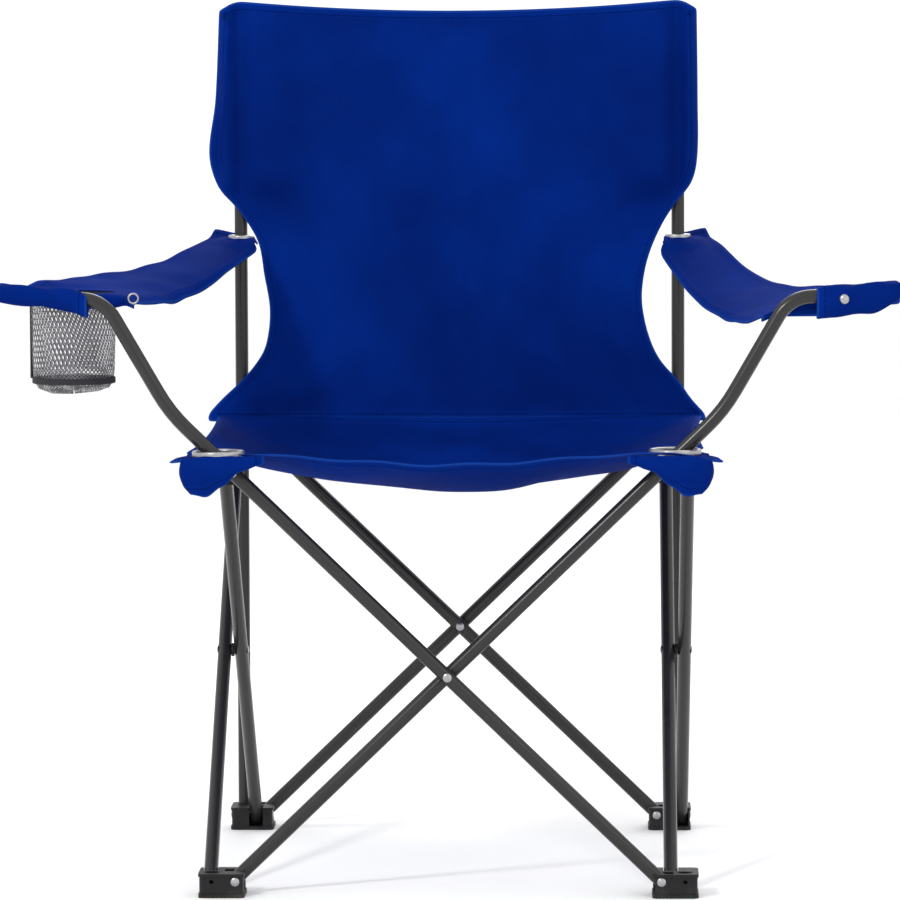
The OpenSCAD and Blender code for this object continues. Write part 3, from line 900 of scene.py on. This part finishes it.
def gently(points, x):
    """A smooth line through a few (x, y) points, without flat spots."""
    x = max(x, points[0][0])
    for i in range(len(points) - 1):
        (x0, y0), (x1, y1) = points[i], points[i + 1]
        if x <= x1:
            before = points[max(i - 1, 0)]
            after = points[min(i + 2, len(points) - 1)]
            slope0 = (y1 - before[1]) / (x1 - before[0])
            slope1 = (after[1] - y0) / (after[0] - x0)
            t, d = (x - x0) / (x1 - x0), x1 - x0
            return ((2 * t**3 - 3 * t**2 + 1) * y0 + (t**3 - 2 * t**2 + t) * d * slope0
                    + (3 * t**2 - 2 * t**3) * y1 + (t**3 - t**2) * d * slope1)
    return points[-1][1]


def back_half(side, z):
    """Half the back's width at a height, from hips to shoulders."""
    return gently(back_outline[side], z)


def back_top(x):
    """The top hem sags between the posts and rounds off past them."""
    inward = min(1.0, abs(x) / post_x)
    return back_rise - top_sag * (1 - inward**2) - shoulder_drop * smooth((abs(x) - post_x) / 0.022)


def pocket_share(z):
    """0 below the pockets, 1 beside them."""
    return smooth((z - 0.626) / 0.036)


def back_point(s, t):
    a = 2 * s - 1
    side = -1 if a < 0 else 1
    x = a * back_half(side, mix(back_low, back_rise, t))
    z = mix(back_low, back_top(x), t)
    bow = back_bow * (1 - a * a) * smooth((z - back_low) / 0.12)
    creased = rumple((x, 0, z * 0.6), 0.06, back_rumple) * (1 - abs(a) ** 4)
    creased -= middle_crease * (1 - smooth(abs(x) / 0.014))
    beside = smooth((abs(x) - 0.145) / 0.045) * (1 - smooth((abs(x) - 0.204) / 0.015))
    past = smooth((abs(x) - post_x - 0.001) / 0.009) - 2.0 * smooth((abs(x) - post_x - 0.012) / 0.012)
    y = back_y + bow + creased - (groove_depth * beside + over_post * past) * pocket_share(z)
    return Vector((x, y, z))


def right_post_share(p):
    """Even between the posts, but the cloth beside each post stays with it."""
    return max(0.0, min(1.0, 0.5 + p.x / (2 * (post_x - beside_post))))


def billow(p):
    """The slack middle goes forward with the front legs."""
    share = right_post_share(p)
    return 0.55 * share * (1 - share)


back_width, back_length = 0.49, back_rise - back_low
shape = sheet(back_width, back_length, back_point, 0.0072)
back = sewn("back_panel", shape, ["back"], "rear_left_leg")
follow(back, "rear_right_leg", right_post_share)
follow(back, "front_left_foot", billow)
thicken(back)
print("back", len(back.data.vertices), "points")

# %% [markdown]
# ## Post pockets
# Each pocket is a second, narrow sheet behind the post. It starts at the back's side
# edge, goes round the post and is sewn down just inside it. Above the cap its two
# layers close.

# %% Post pockets
pocket_cut = (0.056, 0.178)
pocket_low = 0.648
pocket_seam = post_x - 0.022
pocket_belly = 0.0135
layer_gap = 0.0014


def pocket_back(side):
    def point(s, t):
        z = mix(pocket_low, back_top(post_x) - 0.0008, t)
        x = mix(back_half(side, z) - 0.0006, pocket_seam, s)
        z = mix(pocket_low, back_top(x) - 0.0008, t)
        loop = mix(back_y + 0.0095, back_y + layer_gap, s) + pocket_belly * math.sin(math.pi * s) ** 0.75
        y = mix(loop, back_y + layer_gap, smooth((z - cap_top - 0.0016) / 0.006))
        return Vector((side * x, y + rumple((x, y, z), 0.03, 0.0006), z))

    return point


for side, word in sides:
    shape = sheet(*pocket_cut, pocket_back(side), 0.0055, "rbt")
    pocket = sewn("post_pocket_" + word, shape, [], "rear_" + word + "_leg", turn=side > 0)
    thicken(pocket, 0.001)
print("two post pockets")

# %% [markdown]
# ## Arm straps
# A strap runs from an eyelet on the back post to the arm tube. It is narrow behind and
# wide in front, its inner edge sags, and its front edge is turned down behind the tube.
# A sleeve sewn to it slips over the end of the tube.

# %% Strap sizes
# Each pair is how far forward, from 0 to 1, and a distance in metres, for the left (-1)
# strap and the right (1).
strap_inner = {
    -1: [(0, 0.2045), (0.13, 0.2020), (0.30, 0.2210), (0.60, 0.2570), (1, 0.2880)],
    1: [(0, 0.2045), (0.13, 0.2020), (0.30, 0.2210), (0.60, 0.2600), (1, 0.2900)],
}
inner_height = {
    -1: [
        (0, 0.586), (0.12, 0.584), (0.25, 0.574), (0.36, 0.563), (0.48, 0.552), (0.60, 0.545),
        (0.72, 0.544), (0.86, 0.546), (1, 0.550),
    ],
    1: [
        (0, 0.586), (0.12, 0.580), (0.25, 0.562), (0.36, 0.544), (0.48, 0.531), (0.60, 0.5245),
        (0.72, 0.524), (0.86, 0.528), (1, 0.536),
    ],
}
outer_height = {
    -1: [
        (0, 0.597), (0.12, 0.590), (0.25, 0.579), (0.36, 0.573), (0.48, 0.570), (0.72, 0.567),
        (1, 0.568),
    ],
    1: [
        (0, 0.597), (0.12, 0.588), (0.25, 0.569), (0.36, 0.558), (0.48, 0.554), (0.60, 0.556),
        (0.80, 0.562), (1, 0.566),
    ],
}
strap_cut = (0.100, 0.48)
strap_rear = cad_box[1][1] - 0.001
strap_rear_outer = 0.2480
rear_lift = 0.007
strap_rumple = 0.0025
above_tube, above_rim, below_eyelet = 0.0014, 0.0006, 0.0016
fold_at = 0.95
flap_behind = 0.0112
flap_lean = 0.0008
flap_rise = 0.011
flap_low = {-1: 0.5455, 1: 0.5365}
sleeve_mouth = {-1: 0.330, 1: 0.3405}
grip_x = 0.332
bend_radius = 0.036
tube_slope = math.tan(math.radians(3.9))
net_low, net_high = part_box("cup_holder_net")
cup_x, cup_y = (net_low.x + net_high.x) / 2, (net_low.y + net_high.y) / 2
cup_r = (net_high.x - net_low.x) / 2
print("cup holder", round(2 * cup_r, 4), "m across")

# %% [markdown]
# ## Laying the straps
# A strap's shape is worked out from the two edges above. Then it is drawn to what it is
# fixed to: it lies on the arm tube, grips the post at its eyelet, and the left one meets
# the cup holder's rim. The last twentieth of its length is the flap in front.

# %% Arm straps
def tube_z(x):
    """Height of the arm tube's middle over its last straight run."""
    bend = max(0.0, grip_x + 0.018 - x)
    return arm_end_z - (arm_end_x - x) * tube_slope - bend * bend / (2 * bend_radius)


def strap_point(side):
    front = arm_plane[side] + flap_behind

    def point(s, t):
        u = min(1.0, t / fold_at)
        inner = gently(strap_inner[side], u)
        outer = mix(strap_rear_outer, arm_end_x + 0.003, smooth(u) * 0.35 + u * 0.65)
        x = mix(inner, outer, s)
        y = mix(strap_rear, front, u)
        level = mix(0.45, 0.75 if side > 0 else 0.40, smooth(u / 0.4))
        z = mix(gently(inner_height[side], u), gently(outer_height[side], u), s**level)
        z += rear_lift * (1 - smooth(u / 0.045)) * smooth(s / 0.25)
        over_tube = smooth((x - 0.305) / 0.03) * smooth((u - 0.90) / 0.10)
        z = mix(z, tube_z(max(x, grip_x)) + tube_r + above_tube, over_tube)
        z += rumple((x * 1.2, y, 0.3 * side), 0.05, strap_rumple) * math.sin(math.pi * u)
        from_post = math.hypot(x - post_x, y - post_y)
        z = mix(z, strap_eyelet_z - below_eyelet, 1 - smooth((from_post - 0.015) / 0.022))
        if side < 0:
            from_cup = math.hypot(-x - cup_x, y - cup_y)
            z = mix(z, net_high.z + above_rim, 1 - smooth((from_cup - cup_r - 0.006) / 0.020))
        down = max(0.0, t - fold_at) / (1 - fold_at)
        bottom = flap_low[side] + flap_rise * smooth((x - 0.36) / 0.055)
        bottom = mix(z - 0.005, min(bottom, z - 0.005), smooth((x - inner) / 0.022))
        return Vector((side * x, y + flap_lean * down, mix(z, bottom, down)))

    return point


def strap(side, word, front_body):
    rear_body = "rear_" + word + "_leg"
    shape = sheet(*strap_cut, strap_point(side), 0.0080)
    punch(shape, (side * post_x, post_y), tube_r + 0.0035)
    if side < 0:
        punch(shape, (cup_x, cup_y), cup_r - 0.003)
    piece = sewn(word + "_strap", shape, [word + "_arm_strap"], rear_body, turn=side < 0)
    loose_from, loose_to = post_y - 0.02, arm_plane[side] + 0.02

    def front_share(p):
        return smooth((loose_from - p.y) / (loose_from - loose_to))

    follow(piece, front_body, front_share)
    thicken(piece, 0.0013)


arm_body = {"left": "front_outer", "right": "front_inner"}
for side, word in sides:
    strap(side, word, arm_body[word])
for side, word in sides:
    node = "strap_eyelet_" + word
    settle(eyelet("strap_grommet_" + word, node), [node], "rear_" + word + "_leg", "zinc")
print("two straps and their eyelets")

# %% [markdown]
# ## Sleeves
# A sleeve is a short tube of cloth round the end of each arm, closed at its tip. It is
# deeper below the arm's tube than above, and its cloth is slightly pleated.

# %% Arm sleeves
sleeve_low = {
    -1: [(0, 0.0125), (0.5, 0.0095), (1, 0.0082)],
    1: [(0, 0.0205), (0.6, 0.0195), (1, 0.0088)],
}
sleeve_end = arm_end_x + 0.0062
sleeve_reach = 0.0086
sleeve_girth = 0.068
tip_reach, tip_low = 0.0030, 0.0035
pleat_depth = 0.0009


def sleeve_point(side):
    def point(s, t):
        x = mix(sleeve_mouth[side], sleeve_end, s)
        angle = math.radians(mix(100, 460, t))
        closing = smooth((x - arm_end_x - 0.0005) / 0.006)
        reach = mix(sleeve_reach, tip_reach, closing)
        low = mix(through(sleeve_low[side], s), tip_low, closing)
        z = math.sin(angle) * (reach if math.sin(angle) > 0 else low)
        pleat = pleat_depth * math.sin(s * 14 + 3 * angle) * (1 - closing)
        y = arm_plane[side] + math.cos(angle) * (reach + pleat)
        return Vector((side * x, y, tube_z(x) + z + pleat))

    return point


for side, word in sides:
    cut = (sleeve_end - sleeve_mouth[side], sleeve_girth)
    shape = sheet(*cut, sleeve_point(side), 0.004, "l", wrap=True)
    sleeve = sewn(word + "_sleeve", shape, [word + "_arm_pocket"], arm_body[word], turn=side > 0)
    thicken(sleeve, 0.0011)
print("two sleeves")

# %% [markdown]
# ## Small fastenings
# A split ring at the left strap's front corner and a snap stud on the right sleeve are
# what the arms button to when the chair is packed. Both are turned, then laid over to
# face forward.

# %% Ring and stud
def faced_forward(piece, centre):
    """Turns a vertical turned piece about X, so that its top faces the front."""
    piece.data.transform(Matrix.Translation(centre) @ Matrix.Rotation(math.pi / 2, 4, "X"))
    return piece


ring = turned("strap_ring", (0, 0, 0), arc(0.0045, 0, 0.0009, 0, 360, 10), 28)
ring_place = (-strap_inner[-1][-1][1] - 0.001, arm_plane[-1] + 0.0085, 0.5555)
settle(faced_forward(ring, ring_place), [], arm_body["left"], "zinc")
stud_outline = [(0, 0.0016), (0.0026, 0.0014), (0.0042, 0.0005), (0.0046, -0.0004), (0, -0.0006)]
stud = turned("sleeve_stud", (0, 0, 0), stud_outline, 28)
stud_x = 0.366
stud_place = (stud_x, arm_plane[1] - sleeve_reach - 0.0012, tube_z(stud_x) - 0.004)
settle(faced_forward(stud, stud_place), [], arm_body["right"], "zinc")
print("ring and stud")

# %% [markdown]
# ## The cup holder
# A bag of net hangs from a round hole in the left strap. Its wall is a list of (radius,
# height), as shares of the CAD net's own, from the mouth down and round to the middle
# of the base.

# %% Cup holder
net_wall = [
    (1.0, 0.996), (1.0, 0.80), (0.985, 0.5), (0.965, 0.2),
    (0.93, 0.09), (0.84, 0.025), (0.62, 0.004), (0.02, 0.0),
]
net_girth, net_length = 2 * math.pi * cup_r, 0.125
pucker_share = 0.014
mouth_wave = 0.004


def net_point(s, t):
    at = t * (len(net_wall) - 1)
    i = min(int(at), len(net_wall) - 2)
    (r0, h0), (r1, h1) = net_wall[i], net_wall[i + 1]
    radius = cup_r * mix(r0, r1, at - i)
    z = mix(net_low.z, net_high.z, mix(h0, h1, at - i))
    angle = 2 * math.pi * s
    radius *= 1 + pucker_share * math.sin(3 * angle + 0.6) * smooth(t * 2)
    z += mouth_wave * smooth((t - 0.5) * 2) * math.sin(2 * angle)
    return Vector((cup_x - radius * math.cos(angle), cup_y + radius * math.sin(angle), z))


shape = sheet(net_girth, net_length, net_point, 0.006, "", wrap=True)
cup_net = mesh_piece("cup_net", shape)
settle(cup_net, ["cup_holder_net"], arm_body["left"], "net")
print("net", len(cup_net.data.vertices), "points")

# %% [markdown]
# ## Tapes
# Flat tape binds the net's mouth and its bottom edge. A straight piece covers the seam
# that closes the bag on its outer side.

# %% Tapes
def tape_ring(name, radius, z, wide, thick):
    """A flat tape sewn round the net."""
    outline = [(radius - thick, z - wide / 2), (radius - thick, z + wide / 2)]
    outline += arc(radius - thick / 2, z + wide / 2, thick / 2, 180, 0, 4)
    outline += arc(radius - thick / 2, z - wide / 2, thick / 2, 0, -180, 4)
    return turned(name, (cup_x, cup_y, 0), outline, 64)


net_height = net_high.z - net_low.z
mouth = tape_ring("cup_mouth_tape", cup_r + 0.0012, net_high.z - 0.004, 0.007, 0.0022)
settle(mouth, ["cup_holder_rim"], arm_body["left"], "binding")
base = tape_ring("cup_base_tape", cup_r * 0.955 + 0.001, net_low.z + 0.10 * net_height, 0.004, 0.0018)
settle(base, [], arm_body["left"], "binding")
seam_size = (0.0022, 0.008, net_height * 0.84)
seam_place = (cup_x - cup_r * 0.992, cup_y, net_low.z + 0.54 * net_height)
shape = bmesh.new()
bmesh.ops.create_cube(shape, size=1)
bmesh.ops.scale(shape, verts=shape.verts, vec=seam_size)
bmesh.ops.bevel(
    shape, geom=shape.edges[:], offset=0.0007, segments=2, affect="EDGES", profile=0.5, material=-1
)
bmesh.ops.translate(shape, verts=shape.verts, vec=seam_place)
seam = link("cup_seam_tape", bpy.data.meshes.new("cup_seam_tape"))
shape.to_mesh(seam.data)
shape.free()
settle(seam, [], arm_body["left"], "binding")
print("three tapes")
